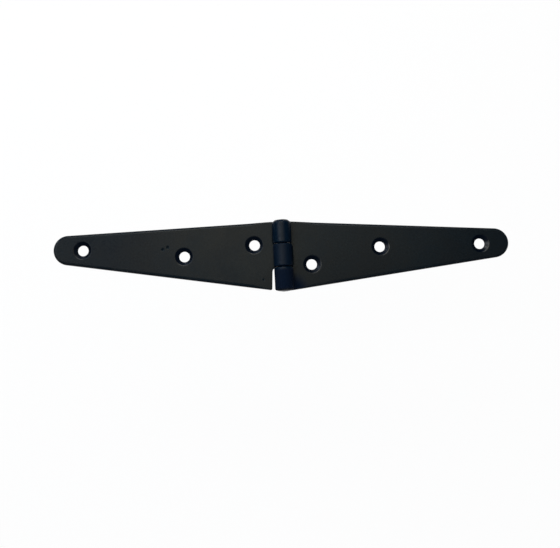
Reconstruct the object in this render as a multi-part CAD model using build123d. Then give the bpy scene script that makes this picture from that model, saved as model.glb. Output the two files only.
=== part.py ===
"""Double strap hinge: two tapered straps, a barrel of three rolled knuckles and a peened pin.

Millimetres. Both straps lie on their backs on z = 0, with the barrel standing up on the front (+Z) side.
The pin runs along Y above the origin. The right leaf reaches along +X and the left leaf along -X.
"""
import os
from math import asin, atan2, cos, degrees, hypot, sin

from build123d import *

# Sheet and pin
SHEET = 1.9                  # thickness of the steel sheet (14 gauge)
PIN_DIAMETER = 4.5
PIN_CLEARANCE = 0.05         # radial, between the pin and each knuckle's bore
PIN_HEAD_DIAMETER = 6.2      # peened over at both ends
PIN_HEAD_HEIGHT = 0.65
PIN_HEAD_RIM = 0.2           # straight rim under the head's dome

# Strap
LEAF_REACH = 101.6           # pin axis to the end of the tip (4 in)
TIP_RADIUS = 6.6             # full round tip
FLARE = 0.35                 # the tapered sides, carried on to the pin axis, pass each end of the barrel by this
FRONT_ROUND = 0.45           # radius of the sheet's edge on the front, rolled over by the shears
BACK_BREAK = 0.25            # broken edge of the sheet on the back, where the shears tear out

# Barrel
BARREL_LENGTH = 30.8         # over the three knuckles
KNUCKLE_GAP = 0.4            # end play on each side of the middle knuckle
NOTCH_GAP = 0.05             # between the middle knuckle and the right leaf's notch, seen from the front
NOTCH_CORNER = 1.1           # inner corners of the notch
NOTCH_RELIEF = 1.0           # bevel on the notch's front edge, so that the round knuckle turns clear of it
SHOULDER_GAP = 0.25          # between the outer knuckles and the left leaf's shoulders, at the middle
SHOULDER_CORNER = 0.6        # corners of the shoulders
SEAM_GAP = 0.2               # opening left between the end of the roll and the strap's front

# Both straps leave the barrel out of square, so that their tips stand high, and the left shoulders open downwards
RIGHT_SKEW = 0.8             # degrees, centre line of the right strap
LEFT_SKEW = 4.4              # degrees, centre line of the left strap
LEFT_SHOULDER_SKEW = 3.6     # degrees, shoulders beside the outer knuckles

# Screw holes, countersunk from the front
HOLE_DIAMETER = 4.9
SINK_DIAMETER = 7.9
SINK_ANGLE = 90.0
SINK_BREAK = 0.15            # softened rim of the countersink
HOLES = {                    # distance along the strap from the pin axis, and offset across it
    "inner": (12.65, -4.5),
    "middle": (43.6, 1.5),
    "tip": (88.5, 0.0),
}

BORE_RADIUS = PIN_DIAMETER / 2 + PIN_CLEARANCE
BARREL_RADIUS = BORE_RADIUS + SHEET
KNUCKLE_LENGTH = (BARREL_LENGTH - 2 * KNUCKLE_GAP) / 3
PIN_AXIS = Axis((0, 0, BARREL_RADIUS), (0, 1, 0))
TINY = 0.01                  # reach of the position filters


def strap_outline():
    """Strap from the pin axis to its tip along +X: two tapered sides that run into a full round tip."""
    half = BARREL_LENGTH / 2 + FLARE
    tip_centre = LEAF_REACH - TIP_RADIUS
    taper = atan2(half, tip_centre) - asin(TIP_RADIUS / hypot(half, tip_centre))
    upper = (tip_centre + TIP_RADIUS * sin(taper), TIP_RADIUS * cos(taper))
    lower = (upper[0], -upper[1])
    sides = Polyline(lower, (0, -half), (0, half), upper)
    tip = ThreePointArc(upper, (LEAF_REACH, 0), lower)
    return make_face(sides + tip)


def notched_blank(skew):
    """Flat shape of the leaf with two outer knuckles: trimmed to the barrel, and notched for the middle knuckle."""
    notch_depth = BARREL_RADIUS + NOTCH_GAP
    notch_width = KNUCKLE_LENGTH + 2 * KNUCKLE_GAP
    strips = Pos(SHEET / 2, 0) * Rectangle(SHEET, BARREL_LENGTH)
    room = Pos(LEAF_REACH, 0) * Rectangle(2 * LEAF_REACH, BARREL_LENGTH)
    trimmed = (Rot(0, 0, skew) * strap_outline() + strips) & room
    blank = trimmed - Rectangle(2 * notch_depth, notch_width)
    corners = blank.vertices().filter_by_position(Axis.X, notch_depth - TINY, notch_depth + TINY)
    return fillet(corners, NOTCH_CORNER)


def shouldered_blank(skew, shoulder_skew):
    """Flat shape of the leaf with one middle knuckle: its shoulders stand back from the outer knuckles."""
    stand_off = BARREL_RADIUS + SHOULDER_GAP
    room = 2 * BARREL_LENGTH
    cut_back = Rot(0, 0, shoulder_skew) * Pos(stand_off - room / 2, 0) * Rectangle(room, room)
    neck_reach = stand_off + SHEET
    neck = Pos(neck_reach / 2, 0) * Rectangle(neck_reach, KNUCKLE_LENGTH)
    blank = Rot(0, 0, skew) * strap_outline() - cut_back + neck
    across = Vector(1, 0).rotate(Axis.Z, shoulder_skew)
    corners = blank.vertices().filter_by(lambda v: abs(Vector(v).dot(across) - stand_off) < TINY)
    return fillet(corners, SHOULDER_CORNER)


def outer_edges(leaf, level):
    """Edges round the leaf's flat face at a level, without those on the pin axis, where the strips roll up."""
    face_edges = leaf.faces().filter_by_position(Axis.Z, level - TINY, level + TINY).edges()
    return face_edges.filter_by(lambda edge: edge.center().X > TINY)


def roll(strip_end):
    """Knuckle: the section of a flat strip, its edges broken, turned round the pin to stop short of the strap."""
    width = strip_end.bounding_box().size.Y
    section = Plane.YZ * Pos(strip_end.center().Y, SHEET / 2) * Rectangle(width, SHEET)
    section = chamfer(section.vertices().group_by(Axis.Z)[-1], FRONT_ROUND)
    section = chamfer(section.vertices().group_by(Axis.Z)[0], BACK_BREAK)
    seam = degrees(asin((BARREL_RADIUS - SHEET - SEAM_GAP) / BARREL_RADIUS))
    return revolve(section, PIN_AXIS, 270 + seam)


def rolled_leaf(blank, skew):
    """Leaf along +X: the blank with soft edges, its strips rolled round the pin, and the screw holes."""
    leaf = extrude(blank, SHEET)
    leaf = fillet(outer_edges(leaf, SHEET), FRONT_ROUND)
    leaf = chamfer(outer_edges(leaf, 0), BACK_BREAK)
    for strip_end in leaf.faces().filter_by_position(Axis.X, -TINY, TINY):
        leaf += roll(strip_end)
    drill = CounterSinkHole(HOLE_DIAMETER / 2, SINK_DIAMETER / 2, 2 * SHEET, SINK_ANGLE)
    for along, across in HOLES.values():
        leaf -= Rot(0, 0, skew) * Pos(along, across, SHEET) * drill
    rings = leaf.edges().filter_by(GeomType.CIRCLE).filter_by_position(Axis.Z, SHEET - TINY, SHEET + TINY)
    rims = rings.filter_by(lambda ring: abs(ring.radius - SINK_DIAMETER / 2) < TINY)
    return chamfer(rims, SINK_BREAK)


def notch_relief():
    """What the bevel takes off the notch's front edge, between its round corners."""
    edge = BARREL_RADIUS + NOTCH_GAP
    width = KNUCKLE_LENGTH + 2 * KNUCKLE_GAP - 2 * NOTCH_CORNER
    low, high = -SHEET, 2 * SHEET
    foot = (edge + low, SHEET - NOTCH_RELIEF + low)
    head = (edge + high, SHEET - NOTCH_RELIEF + high)
    section = make_face(Plane.XZ * Polyline(foot, head, (foot[0], head[1]), close=True))
    return extrude(section, width / 2, both=True)


def peened_pin():
    """Pin along Y: a round bar over the barrel's length, with a low domed head against each end."""
    half = BARREL_LENGTH / 2
    head = PIN_HEAD_DIAMETER / 2
    bar = Cylinder(PIN_DIAMETER / 2, BARREL_LENGTH)
    rim_top = (head, half + PIN_HEAD_RIM)
    crown = (0, half + PIN_HEAD_HEIGHT)
    dome = TangentArc(crown, rim_top, tangent=(1, 0))
    section = make_face(Plane.XZ * (dome + Polyline(rim_top, (head, half), (0, half), crown)))
    cap = revolve(section, Axis.Z)
    pin = bar + cap + mirror(cap, Plane.XY)
    return Pos(0, 0, BARREL_RADIUS) * Rot(-90, 0, 0) * pin


NODES = {
    "right_leaf": rolled_leaf(notched_blank(RIGHT_SKEW), RIGHT_SKEW) - notch_relief(),
    "left_leaf": Rot(0, 0, 180) * rolled_leaf(shouldered_blank(-LEFT_SKEW, -LEFT_SHOULDER_SKEW), -LEFT_SKEW),
    "hinge_pin": peened_pin(),
}

os.makedirs("parts", exist_ok=True)
for name, solid in NODES.items():
    solid.label = name
    export_step(solid, f"parts/{name}.step")
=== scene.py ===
"""Looks of the black strap hinge: two rolled leaves, their peened pin and a plain white stage."""
from math import asin, atan2, cos, hypot, pi, radians, sin, tan

import bpy
import numpy as np
from bpy.props import FloatProperty, FloatVectorProperty, PointerProperty
from mathutils import Matrix, Vector
from mathutils.geometry import delaunay_2d_cdt


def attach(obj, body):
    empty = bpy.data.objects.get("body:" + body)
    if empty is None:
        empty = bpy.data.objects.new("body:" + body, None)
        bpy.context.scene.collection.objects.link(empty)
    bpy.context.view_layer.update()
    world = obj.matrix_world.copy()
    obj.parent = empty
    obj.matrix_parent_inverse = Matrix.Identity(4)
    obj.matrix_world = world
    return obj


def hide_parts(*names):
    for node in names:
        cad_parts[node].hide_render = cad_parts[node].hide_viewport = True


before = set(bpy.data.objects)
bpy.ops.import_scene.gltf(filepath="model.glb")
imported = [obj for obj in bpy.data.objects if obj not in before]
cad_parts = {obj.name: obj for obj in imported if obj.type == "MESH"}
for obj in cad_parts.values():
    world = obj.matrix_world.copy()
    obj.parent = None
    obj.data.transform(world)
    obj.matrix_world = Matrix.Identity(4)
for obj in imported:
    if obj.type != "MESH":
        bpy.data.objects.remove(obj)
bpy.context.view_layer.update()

bl_info = {
    "name": "Strap hinge looks",
    "version": (1, 0, 0),
    "blender": (4, 5, 0),
    "location": "View3D > Sidebar > Strap Hinge",
    "description": "Builds the leaves, the pin and the stage of a black strap hinge",
    "category": "Object",
}

MM = 0.001


def length(name, millimetres, description):
    """A size that the user can change, given here in millimetres and kept in metres."""
    return FloatProperty(
        name=name, description=description, default=millimetres * MM, min=0.0,
        precision=5, subtype="DISTANCE", unit="LENGTH",
    )


def angle(name, degrees, description):
    """An angle that the user can change, given here in degrees."""
    return FloatProperty(
        name=name, description=description, default=radians(degrees), subtype="ANGLE", unit="ROTATION",
    )


def share(name, value, description):
    """A part of a whole, from none to all of it."""
    return FloatProperty(
        name=name, description=description, default=value, min=0.0, max=1.0, subtype="FACTOR",
    )


def colour(name, value, description):
    """A colour that the user can change, in linear light."""
    return FloatVectorProperty(
        name=name, description=description, default=value, size=3, min=0.0, max=1.0, subtype="COLOR",
    )


def place(name, millimetres, description):
    """A point that the user can move, given here in millimetres."""
    default = tuple(value * MM for value in millimetres)
    return FloatVectorProperty(
        name=name, description=description, default=default, size=3, subtype="XYZ", unit="LENGTH",
    )


class LeafSizes(bpy.types.PropertyGroup):
    """Sizes of the two leaves and of the barrel that they roll up into."""

    sheet: length("Sheet", 1.9, "Thickness of the steel sheet")
    reach: length("Reach", 101.6, "Pin axis to the end of the tip")
    tip_radius: length("Tip radius", 6.6, "Radius of the round tip")
    flare: length("Flare", 0.35, "How far the tapered sides pass the barrel's ends at the pin axis")
    front_round: length("Front round", 0.45, "Radius of the sheet's edge on the front, beside the barrel")
    edge_roll: length("Edge roll", 1.3, "Front radius of the straps' long edges, rolled over by the shears")
    back_round: length("Back round", 0.25, "Radius of the sheet's edge on the back")
    rim_round: length("Knuckle rim", 0.6, "Radius of the knuckles' upper rims")
    lower_rim: length("Knuckle lower rim", 0.7, "Radius of the knuckles' lower rims")
    end_round: length("Barrel end", 1.3, "Radius of the barrel's rim at its upper end")
    end_corner: length("Barrel end corner", 1.5, "Radius of the strip's corner at the barrel's upper end")
    barrel_length: length("Barrel", 30.8, "Length over the three knuckles")
    knuckle_gap: length("Knuckle gap", 0.28, "End play beside the middle knuckle")
    notch_reach: length("Notch reach", 3.8, "Pin axis to the right leaf's notch, under the middle knuckle")
    notch_corner: length("Notch corner", 1.2, "Radius of the notch's inner corners")
    notch_round: length("Notch round", 1.1, "Front radius of the notch's edge, eased to clear the knuckle")
    shoulder_gap: length("Shoulder gap", 0.25, "Outer knuckles to the left leaf's shoulders")
    shoulder_corner: length("Shoulder corner", 0.7, "Radius of the shoulders' corners")
    neck_corner: length("Neck corner", 1.8, "Radius between the left leaf's shoulders and its knuckle")
    strip_corner: length("Strip corner", 0.8, "Radius of the upper corner at each strip's end")
    lower_corner: length("Strip lower corner", 1.05, "Radius of the lower corner at each strip's end")
    seam_gap: length("Seam gap", 0.2, "Opening between the end of the roll and the strap's front")
    right_skew: angle("Right skew", 0.8, "Turn of the right strap out of square with its knuckles")
    left_skew: angle("Left skew", 4.4, "Turn of the left strap out of square with its knuckle")
    left_shoulder_skew: angle("Left shoulder skew", 3.6, "Turn of the left leaf's shoulders")
    hole: length("Hole", 4.75, "Diameter of the screw holes")
    sink: length("Countersink", 7.9, "Diameter of the countersinks at the front")
    sink_slope: angle("Countersink slope", 33.0, "Fall of the countersinks' walls below the front")
    sink_rim: length("Countersink rim", 0.3, "Width of the softened rim round each countersink")
    sink_shift: length("Countersink shift", 0.25, "Offset of the countersinks from their holes, tipwards")
    mesh_step: length("Mesh step", 0.8, "Spacing of the surface points on the straps")


class PinSizes(bpy.types.PropertyGroup):
    """Sizes of the pin, peened over at both ends."""

    diameter: length("Diameter", 4.5, "Diameter of the pin")
    clearance: length("Clearance", 0.05, "Radial clearance between the pin and the knuckles")
    head_diameter: length("Head", 6.2, "Diameter of the peened heads")
    head_height: length("Head height", 0.65, "Height of the peened heads")
    head_rim: length("Head rim", 0.2, "Height of the straight rim under each dome")


class CoatingFinish(bpy.types.PropertyGroup):
    """Colours and sheen of the black coating."""

    black: colour("Black", (0.0018, 0.0052, 0.0084), "Body colour of the coating on the straps")
    warm_black: colour("Warm black", (0.0032, 0.0052, 0.0070), "Colour that the straps drift to in patches")
    # Painted shade: the knuckles are painted a darker blue than the straps, as the dark blue surround that
    # their sides reflect.
    knuckle_shade_blue: colour("Blue black", (0.0003, 0.0045, 0.0110), "Colour of the rolled knuckles")
    rubbed: colour("Rubbed edge", (0.030, 0.029, 0.027), "Colour of the edges that have been handled")
    # Painted shade: the dull knuckles and the patch beside the lower one are painted this darker blue, where
    # their sheen is missing.
    painted_shade_black: colour("Dull black", (0.0001, 0.0032, 0.0110), "Colour of the dull patches beside the pin")
    # Painted shade: the countersinks are painted near black, as the shade in these hollows.
    sink_shade_black: colour("Deep black", (0.0003, 0.0016, 0.0042), "Colour of the coating in the countersinks")
    right_pool: share("Right pool", 0.2, "Weight of the glossy coat pooled in the right leaf's countersinks")
    left_pool: share("Left pool", 0.2, "Weight of the glossy coat pooled in the left leaf's countersinks")
    strap_rub: share("Strap rub", 0.3, "How far the straps' edges are rubbed")
    pin_rub: share("Pin rub", 0.9, "How far the pin's heads are rubbed")
    sheen: share("Sheen", 0.095, "Specular level of the coating")
    roughness: share("Roughness", 0.28, "Mean roughness of the coating")


class StageSetup(bpy.types.PropertyGroup):
    """Floor, light and camera."""

    floor_drop: length("Floor drop", 98.0, "Depth of the white sweep below the hinge")
    floor_white: colour("Floor", (0.90, 0.90, 0.90), "Colour of the white sweep")
    # Painted shade: the sweep is painted a darker blue grey far from the hinge, as the light falling away
    # there.
    floor_far_shade: colour("Far floor", (0.33, 0.345, 0.375), "Colour that the sweep fades to far from the hinge")
    camera_place: place("Camera", (-14.0, -47.0, 400.0), "Where the camera stands")
    camera_aim: place("Aim", (-1.61, -7.80, 0.0), "Point that the camera looks at")
    camera_lean: angle("Lean", 3.05, "Turn of the picture's upright away from the pin")


PIECE_GROUPS = {
    "hinge_leaf": LeafSizes,
    "hinge_pin": PinSizes,
    "hinge_finish": CoatingFinish,
    "hinge_stage": StageSetup,
}

# Screw holes, along each strap's centre line from the pin axis and across it, mm
HOLES = ((12.65, -4.5), (43.6, 1.5), (88.5, 0.0))

# Pits in the left leaf's flat blank: out from the pin axis, along it, and radius, mm
PITS = ((53.0, -5.4, 0.50), (50.8, -6.3, 0.50), (9.05, 10.2, 0.33))

# Directions on each leaf's flat blank in which the wet coat ran in the countersinks
RIGHT_POOL_SIDE = (0.906, -0.423)
LEFT_POOL_SIDE = (-0.2, 0.98)
POOL_START, POOL_RUN = 0.4, 0.5        # cosine of the turn from there where it sets in, and its run to full

# Small forms of the leaves, mm
TOE = 0.4                    # half of the run in which the right strap's lower side steps in to the barrel
TOE_ROUND = 1.2              # radius of both corners of that step
UPPER_BLEND = 3.0            # radius where the right strap's upper side runs into the barrel's end
CURL_START, CURL_RUN = 4.0, 5.0        # the back edges grow into the knuckles' rims from here to the strips
ROLL_START, ROLL_RUN = 7.0, 8.0        # the front edges grow into the wide roll from here to the tips
HOLE_EDGE = 0.12             # radius of the holes' edge on the back
WAVE_HEIGHT = 0.012          # slow wave of the sheet
WAVE_START, WAVE_RUN = 8, 20           # where it sets in, and its run to full
WAVE_SCALES = ((9.3, 7.1), (15.7, 11.9))           # along and across, for a radian of each of its two factors
PIT_DEPTH = 0.9              # depth of a pit over its radius

# Small forms of the pin's heads, mm
HEAD_BEVEL = (0.08, 0.06)    # inwards and along the pin, where a head meets the barrel
BAR_STEP = 0.3               # first ring of the bar inside the barrel
DENT, DENT_WAVES = 0.05, 3   # depth of the hammer marks, and how many go round a head

# Spacing of the surface points, mm
OUTLINE_STEP = 0.4
STRIP_STEP = 0.35            # along the rolled strips
EDGE_MARGIN = 0.3            # kept free beside the rounded edges
HOLE_MARGIN = 0.6            # kept free round each countersink
PIT_REACH = 2.8              # kept for a pit's own rings, over its radius
FLAT_RUN = 0.15              # flat band inside each rounded edge
HOLE_RUNS = (0.2, 0.4)       # flat bands round each hole, on the front and on the back
HOLE_TURNS = 64              # points round each hole

# Rows of the edge profile and of the hole profile that lie on rounded or sunken parts
EDGE_ROWS = slice(2, -2)
SINK_RIM_ROWS = slice(2, 6)
SINK_ROWS = slice(3, -2)

# How far rims of countersinks and crowns of pin heads are rubbed, where edges are rubbed by 1
SINK_RUB, CROWN_RUB = 0.7, 0.3
HEAD_RUB_START = 0.8         # share of a head's radius where its rubbed edge sets in

# The knuckles' tone is painted shade: a darker blue, as the dark blue surround that their sides reflect.
KNUCKLE_FOOT, KNUCKLE_FULL = 2.2 * MM, 3.6 * MM    # levels between which the knuckles' tone sets in


def unit(vectors):
    """Vectors scaled to a length of one."""
    return vectors / np.linalg.norm(vectors, axis=-1, keepdims=True)


def turned(points, turn):
    """Flat points turned about the origin."""
    return points @ np.array([[cos(turn), sin(turn)], [-sin(turn), cos(turn)]])


def rounded_loop(corners, radii, step):
    """Closed outline with round corners.

    At each corner an arc of the given radius touches both sides: its centre lies on the bisector, at the
    radius over the sine of half the corner's angle. Straight runs between the arcs are divided into steps.
    """
    corners = np.asarray(corners, float)
    before = unit(np.roll(corners, 1, 0) - corners)
    after = unit(np.roll(corners, -1, 0) - corners)
    half = np.arccos(np.clip((before * after).sum(1), -1, 1)) / 2
    centres = corners + unit(before + after) * (radii / np.sin(half))[:, None]
    starts = corners + before * (radii / np.tan(half))[:, None]
    ends = corners + after * (radii / np.tan(half))[:, None]
    runs = []
    for i, (centre, radius) in enumerate(zip(centres, radii)):
        first = atan2(*(starts[i] - centre)[::-1])
        sweep = (atan2(*(ends[i] - centre)[::-1]) - first + pi) % (2 * pi) - pi
        bend = first + sweep * np.linspace(0, 1, max(6, int(abs(sweep) * radius / step)) + 1)
        runs.append(centre + radius * np.stack([np.cos(bend), np.sin(bend)], 1))
        target = starts[(i + 1) % len(corners)]
        count = max(2, int(np.linalg.norm(target - ends[i]) / step))
        runs.append(ends[i] + (target - ends[i]) * np.linspace(0, 1, count, endpoint=False)[1:, None])
    return np.concatenate(runs)


def outward(loop):
    """Unit normals of an anticlockwise loop, from the mean direction of the two sides at each point."""
    along = unit(np.roll(loop, -1, 0) - loop)
    mean = unit(along + np.roll(along, 1, 0))
    return np.stack([mean[:, 1], -mean[:, 0]], 1)


def inside(points, loop):
    """True for the points inside a closed loop: a ray along +X crosses it an odd number of times."""
    a, b = loop, np.roll(loop, -1, 0)
    y = points[:, 1, None]
    crosses = (a[:, 1] > y) != (b[:, 1] > y)
    rise = np.where(b[:, 1] == a[:, 1], 1.0, b[:, 1] - a[:, 1])
    at = a[:, 0] + (y - a[:, 1]) * (b[:, 0] - a[:, 0]) / rise
    return (crosses & (points[:, 0, None] < at)).sum(1) % 2 == 1


def nearest(points, others):
    """Distance of each point to the nearest of the others."""
    return np.sqrt(((points[:, None] - others[None]) ** 2).sum(2).min(1))


class Blank:
    """Flat shape of a leaf, in millimetres: its measures with the strips rolled out, and its holes."""

    def __init__(self, sizes, pin, skew):
        self.sheet = sizes.sheet / MM
        self.radius = (pin.diameter / 2 + pin.clearance + sizes.sheet) / MM
        self.neutral = self.radius - self.sheet / 2
        seam = asin((self.radius - self.sheet - sizes.seam_gap / MM) / self.radius)
        self.strip = self.neutral * (1.5 * pi + seam)
        self.half = sizes.barrel_length / MM / 2
        self.knuckle = (sizes.barrel_length - 2 * sizes.knuckle_gap) / MM / 3
        self.step = sizes.mesh_step / MM
        self.skew = skew
        wide = self.half + sizes.flare / MM
        tip = (sizes.reach - sizes.tip_radius) / MM
        self.taper = atan2(wide, tip) - asin(sizes.tip_radius / MM / hypot(wide, tip))
        self.wide = wide
        self.apex = turned(np.array([wide / tan(self.taper), 0.0]), skew)
        self.holes = turned(np.array(HOLES), skew)

    def side(self, way):
        """Foot, level with the pin, and unit direction of the upper (1) or the lower (-1) tapered side."""
        lean = self.skew - way * self.taper
        foot = turned(np.array([0.0, way * self.wide]), self.skew)
        return foot, np.array([cos(lean), sin(lean)])


def notched_outline(blank, sizes):
    """Right leaf: two outer strips either side of a notch, and tapered sides that meet in a round tip.

    The upper side is trimmed level with the barrel, and the lower one runs on past it to a small toe.
    """
    notch = sizes.notch_reach / MM
    gap = blank.knuckle / 2 + sizes.knuckle_gap / MM
    strip, half = -blank.strip, blank.half
    foot, along = blank.side(-1)
    lower = foot + along * TOE
    foot, along = blank.side(1)
    upper = foot + along * (half - foot[1]) / along[1]
    corners = [
        (strip, -half), (-TOE, -half), lower, blank.apex, upper, (strip, half),
        (strip, gap), (notch, gap), (notch, -gap), (strip, -gap),
    ]
    end, low, top = sizes.strip_corner / MM, sizes.lower_corner / MM, sizes.end_corner / MM
    corner, tip = sizes.notch_corner / MM, sizes.tip_radius / MM
    radii = [low, TOE_ROUND, TOE_ROUND, tip, UPPER_BLEND, top, low, corner, corner, end]
    return np.array(corners), np.array(radii)


def shouldered_outline(blank, sizes, shoulder_skew):
    """Left leaf: one middle strip, shoulders with their own skew, and a strap turned by the blank's skew."""
    stand_off = blank.radius + sizes.shoulder_gap / MM
    strip, neck = -blank.strip, blank.knuckle / 2

    def on_shoulder(y):
        return ((stand_off - y * sin(shoulder_skew)) / cos(shoulder_skew), y)

    def shoulder_end(way):
        foot, along = blank.side(way)
        across = np.array([cos(shoulder_skew), sin(shoulder_skew)])
        return foot + along * (stand_off - foot @ across) / (along @ across)

    corners = [
        (strip, -neck), on_shoulder(-neck), shoulder_end(-1), blank.apex,
        shoulder_end(1), on_shoulder(neck), (strip, neck),
    ]
    end, low = sizes.strip_corner / MM, sizes.lower_corner / MM
    corner, neck_corner, tip = sizes.shoulder_corner / MM, sizes.neck_corner / MM, sizes.tip_radius / MM
    radii = [end, neck_corner, corner, tip, corner, neck_corner, low]
    return np.array(corners), np.array(radii)


def rolled(blank, along, across, level):
    """Flat blank to leaf: a point of the strap stays where it is, and the strips turn round the pin.

    The turn is the distance from the axis line over the neutral radius, and the radius is the barrel's less
    the point's level in the sheet, so the sheet's back becomes the outside of the knuckle.
    """
    turn = np.maximum(-along, 0) / blank.neutral
    arm = blank.radius - level
    x = np.where(along > 0, along, -arm * np.sin(turn))
    z = np.where(along > 0, level, blank.radius - arm * np.cos(turn))
    return np.stack([x, across, z], -1)


def edge_profile(sheet, front, back, points=7):
    """Edge of the sheet from its front to its back, as distance in from the outline and level.

    A short flat run, a quarter round on the front, the straight edge, a quarter round on the back and a short
    flat run. Both radii may differ from point to point of the outline.
    """
    bend = np.linspace(0, pi / 2, points)[None]
    front, back = front[:, None], back[:, None]
    inset = np.concatenate([
        front + FLAT_RUN, front * (1 - np.sin(bend)), back * (1 - np.cos(bend)), back + FLAT_RUN,
    ], 1)
    level = np.concatenate([
        front * 0 + sheet, sheet - front * (1 - np.cos(bend)), back * (1 - np.sin(bend)), back * 0,
    ], 1)
    return inset, level


def hole_profile(sizes, rim_points=6, cone_points=8, back_points=4):
    """Countersunk hole from front to back, as radius and level: soft rim, cone, straight wall, soft edge."""
    sheet, hole, sink = sizes.sheet / MM, sizes.hole / MM / 2, sizes.sink / MM / 2
    rim, slope = sizes.sink_rim / MM, sizes.sink_slope
    front_run, back_run = HOLE_RUNS
    bend = np.linspace(0, slope, rim_points)
    reach = rim / tan(slope / 2)
    rim_radius = sink + rim - reach * np.sin(bend)
    rim_level = sheet - reach * (1 - np.cos(bend))
    depth = (sink - hole) * tan(slope)
    cone_radius = np.linspace(rim_radius[-1], hole, cone_points)[1:]
    cone_level = np.linspace(rim_level[-1], sheet - depth, cone_points)[1:]
    back = np.linspace(0, pi / 2, back_points)
    edge_radius = hole + HOLE_EDGE * (1 - np.cos(back))
    edge_level = HOLE_EDGE * (1 - np.sin(back))
    outer, end = [sink + rim + front_run], [hole + back_run]
    radius = np.concatenate([outer, rim_radius, cone_radius, edge_radius, end])
    level = np.concatenate([[sheet], rim_level, cone_level, edge_level, [0.0]])
    return radius, level


def circle(turns):
    """Unit directions all the way round."""
    around = np.linspace(0, 2 * pi, turns, endpoint=False)
    return np.stack([np.cos(around), np.sin(around)], 1)


def surface_points(blank, loop, marks):
    """Points spread over the flat blank, clear of its marks: a staggered grid, closer along the strips."""
    low, high = loop.min(0), loop.max(0)
    sets = []
    for start, stop, step in ((low[0], 0.0, STRIP_STEP), (OUTLINE_STEP, high[0], blank.step)):
        along, across = np.arange(start, stop, step), np.arange(low[1], high[1], blank.step)
        u, v = np.meshgrid(along, across, indexing="ij")
        v[1::2] += blank.step / 2
        sets.append(np.stack([u.ravel(), v.ravel()], 1))
    points = np.concatenate(sets)
    points = points[inside(points, loop)]
    for centre, radius in marks:
        points = points[np.linalg.norm(points - centre, axis=1) > radius]
    return points[nearest(points, loop) > EDGE_MARGIN]


def pit_rings(centre, radius, inner=0.2, outer=2.6, rings=9, turns=14):
    """A pit's middle, and rings of points round it; the inner and outer ring are given over its radius."""
    out = np.linspace(inner, outer, rings) * radius
    points = (circle(turns)[:, None] * out[None, :, None]).reshape(-1, 2)
    return centre + np.concatenate([[[0.0, 0.0]], points])


def fill(loops, points):
    """Triangles that cover the area between an outer loop and the loops inside it, through the given points.

    The loops are rounded to single precision first, as the triangulation rounds them, so that a thin triangle
    just outside a straight edge is told from one just inside it.
    """
    loops = [loop.astype(np.float32).astype(float) for loop in loops]
    flat = np.concatenate([*loops, points])
    edges, start = [], 0
    for loop in loops:
        index = np.arange(start, start + len(loop))
        edges.append(np.stack([index, np.roll(index, -1)], 1))
        start += len(loop)
    edges = np.concatenate(edges).tolist()
    made = delaunay_2d_cdt([Vector(point) for point in flat.tolist()], edges, [], 0, 1e-7)
    faces, origins = made[2], made[3]
    source = np.array([given[0] for given in origins])
    triangles = source[np.array(faces)]
    middle = flat[triangles].mean(1)
    keep = inside(middle, loops[0])
    for hole in loops[1:]:
        keep &= ~inside(middle, hole)
    return triangles[keep]


def edge_radii(blank, sizes, loop, normals, notched):
    """Radii of the sheet's edge on the front and on the back, at each point of the outline.

    On the back, the strap's edge grows into the round rims of the knuckles. On the front, the edge beside the
    barrel grows into the wide roll of the long edges, and the notch has a radius of its own.
    """
    x, y = loop.T
    near, facing = 0.1, 0.5
    at_end = y > blank.half - near
    lower = normals[:, 1] < -facing if notched else normals[:, 1] > facing
    rim = np.where(lower, sizes.lower_rim, np.where(at_end, sizes.end_round, sizes.rim_round))
    curl = np.clip((CURL_START - x) / CURL_RUN, 0, 1)
    back = (sizes.back_round + (rim - sizes.back_round) * curl) / MM
    in_notch = np.clip(blank.knuckle / 2 - np.abs(y), 0, 1) * ((x > 0) & (x < 2 * blank.radius))
    away = np.clip((x - ROLL_START) / ROLL_RUN, 0, 1)
    front = sizes.front_round + (sizes.edge_roll - sizes.front_round) * away
    front = (front + (sizes.notch_round - sizes.front_round) * in_notch * notched) / MM
    return front, back


def hole_walls(blank, sizes, radius, level):
    """Walls of the holes on the flat blank: the profile carried round each hole, its sink off centre."""
    walls = blank.holes[:, None, None] + circle(HOLE_TURNS)[None, :, None] * radius[None, None, :, None]
    sunk = np.clip((radius - radius.min()) / (sizes.sink - sizes.hole) * 2 * MM, 0, 1)
    sunk = sunk * (level > blank.sheet / 4)
    walls[..., 0] += sunk * sizes.sink_shift / MM
    return walls


def leaf_masks(total, rim_index, wall_index, pool_side):
    """Masks of a leaf's edges, of the painted shade in its countersinks and of the coat that pooled on one
    side of them.
    """
    edge, sink_shade, pool = np.zeros((3, total))
    edge[rim_index[:, EDGE_ROWS]] = 1.0
    edge[wall_index[..., SINK_RIM_ROWS]] = SINK_RUB
    sink_shade[wall_index[..., SINK_ROWS]] = 1.0
    lean = circle(HOLE_TURNS) @ pool_side
    pool[wall_index[..., SINK_ROWS]] = np.clip((lean - POOL_START) / POOL_RUN, 0, 1)[:, None]
    return {"edge": edge, "sink_shade": sink_shade, "pool": pool}


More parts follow.
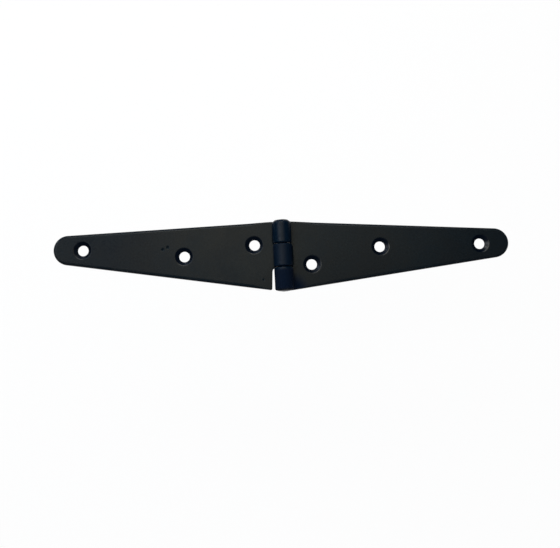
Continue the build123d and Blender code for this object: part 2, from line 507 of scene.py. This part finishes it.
def leaf_mesh(blank, outline, sizes, pits, notched):
    """Closed surface of a leaf, as points, faces and masks.

    The edge profile is carried round the outline and the hole profile round each hole. The flat areas between
    them are covered on the front and on the back, the front with a slow wave and with pits, and all of it is
    rolled up.
    """
    corners, radii = outline
    loop = rounded_loop(corners, radii, OUTLINE_STEP)
    normals = outward(loop)
    inset, level = edge_profile(blank.sheet, *edge_radii(blank, sizes, loop, normals, notched))
    rim = loop[:, None] - normals[:, None] * inset[:, :, None]
    hole_radius, hole_level = hole_profile(sizes)
    walls = hole_walls(blank, sizes, hole_radius, hole_level)
    wall_level = np.broadcast_to(hole_level, walls.shape[:3])

    hole_marks = [(centre, hole_radius[0] + HOLE_MARGIN) for centre in blank.holes]
    pit_marks = [(np.array(pit[:2]), pit[2] * PIT_REACH) for pit in pits]
    rings = [pit_rings(np.array(pit[:2]), pit[2]) for pit in pits]
    front_points = np.concatenate([surface_points(blank, rim[:, 0], hole_marks + pit_marks), *rings])
    back_points = surface_points(blank, rim[:, -1], hole_marks)
    front_tris = fill([rim[:, 0], *walls[:, :, 0]], front_points)
    back_tris = fill([rim[:, -1], *walls[:, :, -1]], back_points)

    rim_index = np.arange(inset.size).reshape(inset.shape)
    wall_index = inset.size + np.arange(wall_level.size).reshape(wall_level.shape)
    inner_index = inset.size + wall_level.size + np.arange(len(front_points) + len(back_points))
    front_inner, back_inner = np.split(inner_index, [len(front_points)])
    front_index = np.concatenate([rim_index[:, 0], wall_index[:, :, 0].ravel(), front_inner])
    back_index = np.concatenate([rim_index[:, -1], wall_index[:, :, -1].ravel(), back_inner])
    flat = np.concatenate([rim.reshape(-1, 2), walls.reshape(-1, 2), front_points, back_points])
    front_level, back_level = np.full(len(front_points), blank.sheet), np.zeros(len(back_points))
    height = np.concatenate([level.ravel(), wall_level.ravel(), front_level, back_level])
    height = height + front_relief(blank, flat, height, pits)
    points = rolled(blank, flat[:, 0], flat[:, 1], height)

    r0, r1 = rim_index, np.roll(rim_index, -1, 0)
    rim_quads = np.stack([r0[:, :-1], r0[:, 1:], r1[:, 1:], r1[:, :-1]], -1).reshape(-1, 4)
    w0, w1 = wall_index, np.roll(wall_index, -1, 1)
    wall_quads = np.stack([w0[..., :-1], w1[..., :-1], w1[..., 1:], w0[..., 1:]], -1).reshape(-1, 4)
    faces = [
        *rim_quads.tolist(), *wall_quads.tolist(),
        *front_index[front_tris].tolist(), *back_index[back_tris][:, ::-1].tolist(),
    ]
    pool_side = RIGHT_POOL_SIDE if notched else LEFT_POOL_SIDE
    return points, faces, leaf_masks(len(points), rim_index, wall_index, pool_side)


def front_relief(blank, flat, height, pits):
    """Small heights on the strap's front: a slow wave that dies out at the barrel, and bell-shaped pits."""
    x, y = flat[:, 0], flat[:, 1]
    fade = np.clip((x - WAVE_START) / WAVE_RUN, 0, 1) * (height / blank.sheet) ** 2
    (along_1, across_1), (along_2, across_2) = WAVE_SCALES
    wave = WAVE_HEIGHT * np.sin(x / along_1 + y / across_1) * np.cos(x / along_2 - y / across_2)
    relief = fade * wave
    tiny = 0.01
    on_front = height > blank.sheet - tiny
    for along, across, radius in pits:
        away = (x - along) ** 2 + (y - across) ** 2
        relief = relief - on_front * PIT_DEPTH * radius * np.exp(-away / radius ** 2)
    return relief


def band_quads(index):
    """Quads of a band of points, its rows along the first axis, closed round the second."""
    beside = np.roll(index, -1, 1)
    return np.stack([index[:-1], index[1:], beside[1:], beside[:-1]], -1).reshape(-1, 4)


def fan(centre, ring):
    """Triangles from a centre to each side of a ring of points."""
    return np.stack([np.full(len(ring), centre), ring, np.roll(ring, -1)], -1)


def pin_mesh(pin, leaf, dome_points=13, turns=72):
    """Closed surface of the pin: its profile, head, bar and head, carried round the pin's axis.

    Each head is a low dome whose height falls with the square of the distance from the axis, with a straight
    rim under it. Hammer marks lower the dome a little by a wave that goes three times round.
    """
    half = leaf.barrel_length / MM / 2
    bar, head = pin.diameter / MM / 2, pin.head_diameter / MM / 2
    rim, high = pin.head_rim / MM, pin.head_height / MM
    axis_z = bar + pin.clearance / MM + leaf.sheet / MM
    inwards, upwards = HEAD_BEVEL
    out = np.linspace(0, 1, dome_points)[1:]
    dome_r, dome_y = head * out, half + high - (high - rim) * out ** 2
    side_r = np.concatenate([dome_r, [head, head - inwards, bar, bar]])
    side_y = np.concatenate([dome_y, [half + upwards, half, half, half - BAR_STEP]])
    radius = np.concatenate([side_r, side_r[::-1]])
    along = np.concatenate([side_y, -side_y[::-1]])
    way = np.sign(along)[:, None]
    around = np.linspace(0, 2 * pi, turns, endpoint=False)
    out = np.clip(radius / head, 0, 1)
    dent = 4 * out * (1 - out) * (np.abs(along) > half + rim)
    dent = DENT * dent[:, None] * (0.5 + 0.5 * np.cos(DENT_WAVES * around + way))
    y = along[:, None] - way * dent
    x = radius[:, None] * np.sin(around)
    z = radius[:, None] * np.cos(around) + axis_z
    grid = np.stack([x, y, z], -1)
    crowns = [[0, half + high, axis_z], [0, -half - high, axis_z]]
    points = np.concatenate([grid.reshape(-1, 3), crowns])
    index = np.arange(y.size).reshape(y.shape)
    top, bottom = index.size, index.size + 1
    bottom_fan = fan(bottom, index[-1])[:, [0, 2, 1]]
    faces = [*band_quads(index).tolist(), *fan(top, index[0]).tolist(), *bottom_fan.tolist()]
    rubbed = np.clip((np.repeat(radius, turns) / head - HEAD_RUB_START) / (1 - HEAD_RUB_START), 0, 1)
    rubbed = rubbed * (np.abs(y.ravel()) > half)
    return points, faces, {"edge": np.concatenate([rubbed, [CROWN_RUB, CROWN_RUB]])}


def add_piece(name, surface, material, body, node):
    """Smooth mesh object at the origin from a surface in millimetres, on its body, for its CAD node."""
    points, faces, masks = surface
    mesh = bpy.data.meshes.new(name)
    mesh.from_pydata((points * MM).tolist(), [], faces)
    mesh.validate()
    mesh.shade_smooth()
    for key, values in masks.items():
        mask = mesh.attributes.new(key, "FLOAT", "POINT")
        mask.data.foreach_set("value", values.astype(np.float32))
    mesh.materials.append(material)
    piece = bpy.data.objects.new(name, mesh)
    bpy.context.scene.collection.objects.link(piece)
    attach(piece, body)
    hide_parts(node)


def group_tree(name, inputs, outputs):
    """New shader node group with named sockets, given as name, socket type and default."""
    tree = bpy.data.node_groups.new(name, "ShaderNodeTree")
    for socket, kind, default in inputs:
        made = tree.interface.new_socket(socket, in_out="INPUT", socket_type=kind)
        made.default_value = default
    for socket, kind in outputs:
        tree.interface.new_socket(socket, in_out="OUTPUT", socket_type=kind)
    return tree, tree.nodes.new("NodeGroupInput"), tree.nodes.new("NodeGroupOutput")


def attribute(tree, name):
    """One of the piece's own masks."""
    made = tree.nodes.new("ShaderNodeAttribute")
    made.attribute_name = name
    return made.outputs["Fac"]


def object_point(tree):
    """The piece's own coordinates."""
    return tree.nodes.new("ShaderNodeTexCoord").outputs["Object"]


def split_axes(tree, vector):
    """The X, Y and Z of a vector."""
    made = tree.nodes.new("ShaderNodeSeparateXYZ")
    tree.links.new(vector, made.inputs["Vector"])
    return made.outputs


def distance_from(tree, centre):
    """How far a point of the piece lies from a centre."""
    made = tree.nodes.new("ShaderNodeVectorMath")
    made.operation = "DISTANCE"
    tree.links.new(object_point(tree), made.inputs[0])
    made.inputs[1].default_value = centre
    return made.outputs["Value"]


def math_node(tree, operation, first, second):
    """Math node; each operand is a number or an output."""
    made = tree.nodes.new("ShaderNodeMath")
    made.operation = operation
    for socket, value in zip(made.inputs, (first, second)):
        if isinstance(value, (int, float)):
            socket.default_value = value
        else:
            tree.links.new(value, socket)
    return made.outputs[0]


def noise(tree, scale, detail, roughness=0.5):
    """Noise on the piece's own coordinates; the scale is in features per metre, a number or an output."""
    made = tree.nodes.new("ShaderNodeTexNoise")
    made.inputs["Detail"].default_value = detail
    made.inputs["Roughness"].default_value = roughness
    tree.links.new(object_point(tree), made.inputs["Vector"])
    if isinstance(scale, (int, float)):
        made.inputs["Scale"].default_value = scale
    else:
        tree.links.new(scale, made.inputs["Scale"])
    return made.outputs["Fac"]


def spread(tree, value, low, high, to_low=0.0, to_high=1.0):
    """Maps a range of a value to another, with soft ends."""
    made = tree.nodes.new("ShaderNodeMapRange")
    made.interpolation_type = "SMOOTHSTEP"
    for name, number in (("From Min", low), ("From Max", high), ("To Min", to_low), ("To Max", to_high)):
        made.inputs[name].default_value = number
    tree.links.new(value, made.inputs["Value"])
    return made.outputs["Result"]


def mixed(tree, factor, first, second):
    """Mix of two colours, each a colour or an output."""
    made = tree.nodes.new("ShaderNodeMix")
    made.data_type = "RGBA"
    tree.links.new(factor, made.inputs[0])
    for socket, value in zip((made.inputs[6], made.inputs[7]), (first, second)):
        if isinstance(value, bpy.types.NodeSocket):
            tree.links.new(value, socket)
        else:
            socket.default_value = (*value, 1.0)
    return made.outputs[2]


def orange_peel_group():
    """Height of the sprayed coating: soft lumps with a finer grain on top."""
    tree, given, out = group_tree(
        "orange_peel",
        [("Lumps per metre", "NodeSocketFloat", 700.0), ("Grain per metre", "NodeSocketFloat", 4200.0)],
        [("Height", "NodeSocketFloat")],
    )
    grain_share = 0.22
    lumps = noise(tree, given.outputs["Lumps per metre"], detail=1.5)
    grain = noise(tree, given.outputs["Grain per metre"], detail=2.0)
    total = math_node(tree, "ADD", lumps, math_node(tree, "MULTIPLY", grain, grain_share))
    tree.links.new(total, out.inputs["Height"])
    return tree


def edge_rub_group():
    """Mask of rubbed edges: the piece's edge attribute, broken up by noise along its length."""
    tree, given, out = group_tree(
        "edge_rub", [("Amount", "NodeSocketFloat", 0.5)], [("Mask", "NodeSocketFloat")],
    )
    patches = spread(tree, noise(tree, scale=160.0, detail=4.0, roughness=0.6), low=0.42, high=0.66)
    scratches = spread(tree, noise(tree, scale=1500.0, detail=3.0), low=0.40, high=0.70, to_low=0.35)
    broken = math_node(tree, "MULTIPLY", patches, scratches)
    mask = math_node(tree, "MULTIPLY", attribute(tree, "edge"), broken)
    tree.links.new(math_node(tree, "MULTIPLY", mask, given.outputs["Amount"]), out.inputs["Mask"])
    return tree


def coating_tone_group():
    """Colour and roughness of the coating: a slow drift from black to warm black, with specks of dust."""
    tree, given, out = group_tree(
        "coating_tone",
        [
            ("Black", "NodeSocketColor", (0.003, 0.006, 0.010, 1.0)),
            ("Warm black", "NodeSocketColor", (0.007, 0.007, 0.007, 1.0)),
            ("Roughness", "NodeSocketFloat", 0.42),
        ],
        [("Color", "NodeSocketColor"), ("Roughness", "NodeSocketFloat")],
    )
    drift_share, mottle_share = 0.7, 0.3
    dust_grey = (0.05, 0.05, 0.05)
    drift = spread(tree, noise(tree, scale=38.0, detail=3.0), low=0.35, high=0.68)
    mottle = spread(tree, noise(tree, scale=420.0, detail=4.0, roughness=0.6), low=0.30, high=0.72)
    both = math_node(
        tree, "ADD",
        math_node(tree, "MULTIPLY", drift, drift_share), math_node(tree, "MULTIPLY", mottle, mottle_share),
    )
    tone = mixed(tree, both, given.outputs["Black"], given.outputs["Warm black"])
    dust = spread(tree, noise(tree, scale=2600.0, detail=2.0), low=0.72, high=0.80, to_high=0.5)
    tree.links.new(mixed(tree, dust, tone, dust_grey), out.inputs["Color"])
    uneven = spread(tree, noise(tree, scale=90.0, detail=4.0), low=0.3, high=0.7, to_low=-0.05, to_high=0.05)
    fine = spread(tree, noise(tree, scale=900.0, detail=3.0), low=0.3, high=0.7, to_low=-0.03, to_high=0.04)
    rough = math_node(tree, "ADD", given.outputs["Roughness"], math_node(tree, "ADD", uneven, fine))
    tree.links.new(rough, out.inputs["Roughness"])
    return tree


def placed_group(tree, maker, name, **values):
    """A shared group, built the first time that it is asked for, as a node with its own values."""
    made = tree.nodes.new("ShaderNodeGroup")
    made.node_tree = bpy.data.node_groups.get(name) or maker()
    for key, value in values.items():
        made.inputs[key.replace("_", " ").capitalize()].default_value = value
    return made


def dull_shaded_middle_knuckle(tree):
    """Mask of a slightly dull middle knuckle, painted darker as painted shade: what stands above the strap's
    front.
    """
    level = split_axes(tree, object_point(tree))["Z"]
    return spread(tree, level, low=KNUCKLE_FOOT, high=KNUCKLE_FULL, to_high=0.38)


def dull_shaded_lower_knuckle(tree):
    """Mask of painted shade with a duller coat: the lower knuckle, and a patch that runs on to the strap
    beside its lower end.
    """
    patch_centre = (2.5 * MM, -16.5 * MM, 1.9 * MM)
    axes = split_axes(tree, object_point(tree))
    raised = spread(tree, axes["Z"], low=KNUCKLE_FOOT, high=3.4 * MM)
    lower = spread(tree, axes["Y"], low=-7.0 * MM, high=-5.6 * MM, to_low=1.0, to_high=0.0)
    away = distance_from(tree, patch_centre)
    patch = spread(tree, away, low=4.5 * MM, high=10.5 * MM, to_low=1.0, to_high=0.0)
    return math_node(tree, "MAXIMUM", math_node(tree, "MULTIPLY", raised, lower), patch)


def coating_material(name, finish, rub, pool=0.0, dull_shade_mask=None):
    """Satin black coating: drifting tone, orange peel, rubbed edges and knuckles in painted blue shade.

    The countersinks are painted deeper black as painted shade, with a pooled glossy coat. Where a mask is
    given, it has dull parts, painted darker as painted shade.
    """
    dull_roughness = 0.6
    material = bpy.data.materials.new(name)
    material.use_nodes = True
    tree = material.node_tree
    shader = tree.nodes["Principled BSDF"]
    tone = placed_group(
        tree, coating_tone_group, "coating_tone",
        black=(*finish.black, 1.0), warm_black=(*finish.warm_black, 1.0), roughness=finish.roughness,
    )
    edges = placed_group(tree, edge_rub_group, "edge_rub", amount=rub)
    peel = placed_group(tree, orange_peel_group, "orange_peel")
    body, rough = tone.outputs["Color"], tone.outputs["Roughness"]
    # Painted shade: the knuckles, which stand above the strap's front, are painted a darker blue.
    level = split_axes(tree, object_point(tree))["Z"]
    raised = spread(tree, level, low=KNUCKLE_FOOT, high=KNUCKLE_FULL)
    body = mixed(tree, raised, body, finish.knuckle_shade_blue)
    # Painted shade where a mask is given: a darker blue colour, together with a rougher coat.
    if dull_shade_mask:
        dull = dull_shade_mask(tree)
        body = mixed(tree, dull, body, finish.painted_shade_black)
        rough = math_node(tree, "ADD", rough, math_node(tree, "MULTIPLY", dull, dull_roughness))
    body = mixed(tree, edges.outputs["Mask"], body, finish.rubbed)
    # Painted shade: the countersinks' walls are painted near black.
    body = mixed(tree, attribute(tree, "sink_shade"), body, finish.sink_shade_black)
    tree.links.new(body, shader.inputs["Base Color"])
    pooled = math_node(tree, "MULTIPLY", attribute(tree, "pool"), pool)
    tree.links.new(pooled, shader.inputs["Coat Weight"])
    shader.inputs["Coat Roughness"].default_value = 0.2
    tree.links.new(rough, shader.inputs["Roughness"])
    shader.inputs["Specular IOR Level"].default_value = finish.sheen
    bump = tree.nodes.new("ShaderNodeBump")
    bump.inputs["Strength"].default_value = 0.35
    bump.inputs["Distance"].default_value = 0.03 * MM
    tree.links.new(peel.outputs["Height"], bump.inputs["Height"])
    tree.links.new(bump.outputs["Normal"], shader.inputs["Normal"])
    return material


def sweep_material(white, far_shade_tone):
    """White sweep: a matt surface, lifted towards white for the eye and in reflections, that keeps shadow.

    Far from the hinge it is painted darker, as painted shade.
    """
    grain_tone = 0.97
    material = bpy.data.materials.new("white_sweep")
    material.use_nodes = True
    tree = material.node_tree
    shader = tree.nodes["Principled BSDF"]
    shader.inputs["Roughness"].default_value = 0.9
    shader.inputs["Specular IOR Level"].default_value = 0.1
    away = distance_from(tree, (0.0, 0.0, 0.0))
    grain = spread(tree, noise(tree, scale=260.0, detail=3.0), low=0.3, high=0.7)
    shade = tuple(grain_tone * value for value in white)
    # Painted shade: the paper fades to a darker tone far from the hinge.
    far = spread(tree, away, low=0.5, high=0.9)
    paper = mixed(tree, far, mixed(tree, grain, shade, white), far_shade_tone)
    tree.links.new(paper, shader.inputs["Base Color"])
    glow = tree.nodes.new("ShaderNodeEmission")
    path = tree.nodes.new("ShaderNodeLightPath")
    seen = math_node(tree, "MAXIMUM", path.outputs["Is Camera Ray"], path.outputs["Is Glossy Ray"])
    seen = math_node(tree, "MAXIMUM", seen, path.outputs["Is Transmission Ray"])
    lift = spread(tree, away, low=0.26, high=0.60, to_low=0.95, to_high=0.0)
    mix = tree.nodes.new("ShaderNodeMixShader")
    tree.links.new(math_node(tree, "MULTIPLY", seen, lift), mix.inputs[0])
    tree.links.new(shader.outputs["BSDF"], mix.inputs[1])
    tree.links.new(glow.outputs["Emission"], mix.inputs[2])
    tree.links.new(mix.outputs["Shader"], tree.nodes["Material Output"].inputs["Surface"])
    return material


def sweep_mesh(drop, turns=96):
    """Round white sweep: a flat floor whose edge curves up into a low wall, carried round the Z axis."""
    floor, cove, wall = 1.1, 0.25, 0.5
    inner_rings = [0.15, 0.5]
    bend = np.linspace(0, pi / 2, 12)
    radius = np.concatenate([inner_rings, floor + cove * np.sin(bend), [floor + cove]])
    level = np.concatenate([[0, 0], cove * (1 - np.cos(bend)), [wall]]) - drop
    around = circle(turns)
    x, y = radius[:, None] * around[:, 0], radius[:, None] * around[:, 1]
    grid = np.stack([x, y, np.repeat(level[:, None], turns, 1)], -1)
    points = np.concatenate([grid.reshape(-1, 3), [[0, 0, -drop]]])
    index = np.arange(x.size).reshape(x.shape)
    return points, [*band_quads(index).tolist(), *fan(index.size, index[0]).tolist()]


class HINGE_OT_leaves(bpy.types.Operator):
    """Builds the two strap leaves, each from its flat blank, rolled round the pin"""

    bl_idname = "hinge.leaves"
    bl_label = "Strap leaves"

    def execute(self, context):
        scene = context.scene
        sizes, pin, finish = scene.hinge_leaf, scene.hinge_pin, scene.hinge_finish
        rub = finish.strap_rub
        right = Blank(sizes, pin, sizes.right_skew)
        surface = leaf_mesh(right, notched_outline(right, sizes), sizes, (), True)
        coat = coating_material("right_leaf_coating", finish, rub, finish.right_pool, dull_shaded_lower_knuckle)
        add_piece("right_strap", surface, coat, "right_leaf", "right_leaf")
        left = Blank(sizes, pin, -sizes.left_skew)
        outline = shouldered_outline(left, sizes, -sizes.left_shoulder_skew)
        points, faces, masks = leaf_mesh(left, outline, sizes, PITS, False)
        half_turned = points * np.array([-1.0, -1.0, 1.0])
        coat = coating_material("left_leaf_coating", finish, rub, finish.left_pool, dull_shaded_middle_knuckle)
        add_piece("left_strap", (half_turned, faces, masks), coat, "left_leaf", "left_leaf")
        return {"FINISHED"}


class HINGE_OT_pin(bpy.types.Operator):
    """Builds the pin with its peened heads"""

    bl_idname = "hinge.pin"
    bl_label = "Peened pin"

    def execute(self, context):
        scene = context.scene
        finish = scene.hinge_finish
        surface = pin_mesh(scene.hinge_pin, scene.hinge_leaf)
        coat = coating_material("pin_coating", finish, finish.pin_rub)
        add_piece("peened_pin", surface, coat, "right_leaf", "hinge_pin")
        return {"FINISHED"}


class HINGE_OT_stage(bpy.types.Operator):
    """Builds the white sweep, the soft light and the camera"""

    bl_idname = "hinge.stage"
    bl_label = "Stage"

    def execute(self, context):
        scene, setup = context.scene, context.scene.hinge_stage
        scene.view_settings.view_transform = "Standard"
        points, faces = sweep_mesh(setup.floor_drop)
        mesh = bpy.data.meshes.new("white_sweep")
        mesh.from_pydata(points.tolist(), [], faces)
        mesh.shade_smooth()
        mesh.materials.append(sweep_material(setup.floor_white, setup.floor_far_shade))
        sweep = bpy.data.objects.new("white_sweep", mesh)
        scene.collection.objects.link(sweep)
        add_lights(scene)
        add_camera(scene, setup)
        return {"FINISHED"}


def aimed(at, target, upright):
    """Place and turn of something that looks at a target, its upright as near the given one as can be."""
    back = (at - target).normalized()
    right = upright.cross(back).normalized()
    up = back.cross(right)
    return Matrix.Translation(at) @ Matrix((right, up, back)).transposed().to_4x4()


def add_panel(scene, name, at, target, upright, size, brightness, tint):
    """Soft light panel that faces a target; its brightness is the value at which its face would be seen."""
    light = bpy.data.lights.new(name, "AREA")
    light.shape = "RECTANGLE"
    light.size, light.size_y = size
    light.energy = pi * size[0] * size[1] * brightness
    light.color = tint
    panel = bpy.data.objects.new(name, light)
    scene.collection.objects.link(panel)
    panel.visible_camera = False
    panel.matrix_world = aimed(Vector(at), Vector(target), Vector(upright))


def add_lights(scene):
    """Warm panels overhead, cool and blue ones round about, and a dim blue surround, warmer overhead.

    The overhead panels face straight down, and give the straps their sheen. The others face the hinge from
    the left, from behind and from the near side, and give the edges and the countersinks their glints.
    """
    ahead, upward, hinge = (0, 1, 0), (0, 0, 1), (0, 0, 0)
    warm, pale, cool = (1.0, 0.93, 0.74), (0.75, 0.72, 1.0), (0.95, 1.0, 1.0)
    blue = (0.65, 0.8, 1.0)
    high = 0.25
    overhead = (
        ("left_panel", -0.1125, 0.05, (0.045, 0.18), 0.8, pale),
        ("core_panel", -0.03, 0.07, (0.12, 0.14), 2.68, warm),
        ("right_panel", 0.0765, 0.0765, (0.093, 0.127), 1.4, warm),
        ("rear_panel", -0.02, 0.20, (0.23, 0.12), 3.1, warm),
    )
    for name, x, y, size, brightness, tint in overhead:
        add_panel(scene, name, (x, y, high), (x, y, 0), ahead, size, brightness, tint)
    around = (
        ("window_panel", (-0.63, 0.15, 1.0), ahead, (0.60, 0.50), 3.8, cool),
        ("small_panel", (-0.522, 0.352, 0.307), upward, (0.34, 0.14), 7.2, blue),
        ("back_panel", (-0.043, 0.40, 0.446), upward, (0.50, 0.19), 4.6, cool),
        ("low_panel", (-0.21, 0.53, 0.175), upward, (0.30, 0.14), 1.5, blue),
        ("near_panel", (0, -0.25, 0.433), upward, (0.40, 0.18), 0.75, blue),
    )
    for name, at, upright, size, brightness, tint in around:
        add_panel(scene, name, at, hinge, upright, size, brightness, tint)
    low_sky, high_sky = (0.13, 0.18, 0.33), (0.34, 0.32, 0.25)
    scene.world = bpy.data.worlds.new("studio")
    scene.world.use_nodes = True
    tree = scene.world.node_tree
    direction = tree.nodes.new("ShaderNodeTexCoord").outputs["Generated"]
    height = spread(tree, split_axes(tree, direction)["Z"], low=0.6, high=0.97)
    tree.links.new(mixed(tree, height, low_sky, high_sky), tree.nodes["Background"].inputs["Color"])


def add_camera(scene, setup):
    """Camera above the hinge, a little to its near side, turned so that the pin leans in the picture."""
    data = bpy.data.cameras.new("camera")
    data.lens = 58.0
    data.sensor_width = 36.0
    data.clip_start = 0.01
    camera = bpy.data.objects.new("camera", data)
    scene.collection.objects.link(camera)
    upright = Vector((sin(setup.camera_lean), cos(setup.camera_lean), 0.0))
    camera.matrix_world = aimed(Vector(setup.camera_place), Vector(setup.camera_aim), upright)
    scene.camera = camera


class HINGE_PT_panel(bpy.types.Panel):
    """Lists the hinge's pieces and their sizes"""

    bl_label = "Strap Hinge"
    bl_idname = "HINGE_PT_panel"
    bl_space_type = "VIEW_3D"
    bl_region_type = "UI"
    bl_category = "Strap Hinge"

    def draw(self, context):
        for operator in OPERATORS:
            self.layout.operator(operator.bl_idname)
        for group, kind in PIECE_GROUPS.items():
            box = self.layout.box()
            for name in kind.__annotations__:
                box.prop(getattr(context.scene, group), name)


OPERATORS = (HINGE_OT_leaves, HINGE_OT_pin, HINGE_OT_stage)


def register():
    for kind in (*PIECE_GROUPS.values(), *OPERATORS, HINGE_PT_panel):
        bpy.utils.register_class(kind)
    for group, kind in PIECE_GROUPS.items():
        setattr(bpy.types.Scene, group, PointerProperty(type=kind))


def unregister():
    for group in PIECE_GROUPS:
        delattr(bpy.types.Scene, group)
    for kind in (HINGE_PT_panel, *reversed(OPERATORS), *PIECE_GROUPS.values()):
        bpy.utils.unregister_class(kind)


def main():
    """Registers the classes, and builds the hinge and its stage."""
    register()
    bpy.ops.hinge.leaves()
    bpy.ops.hinge.pin()
    bpy.ops.hinge.stage()


if __name__ == "__main__":
    main()
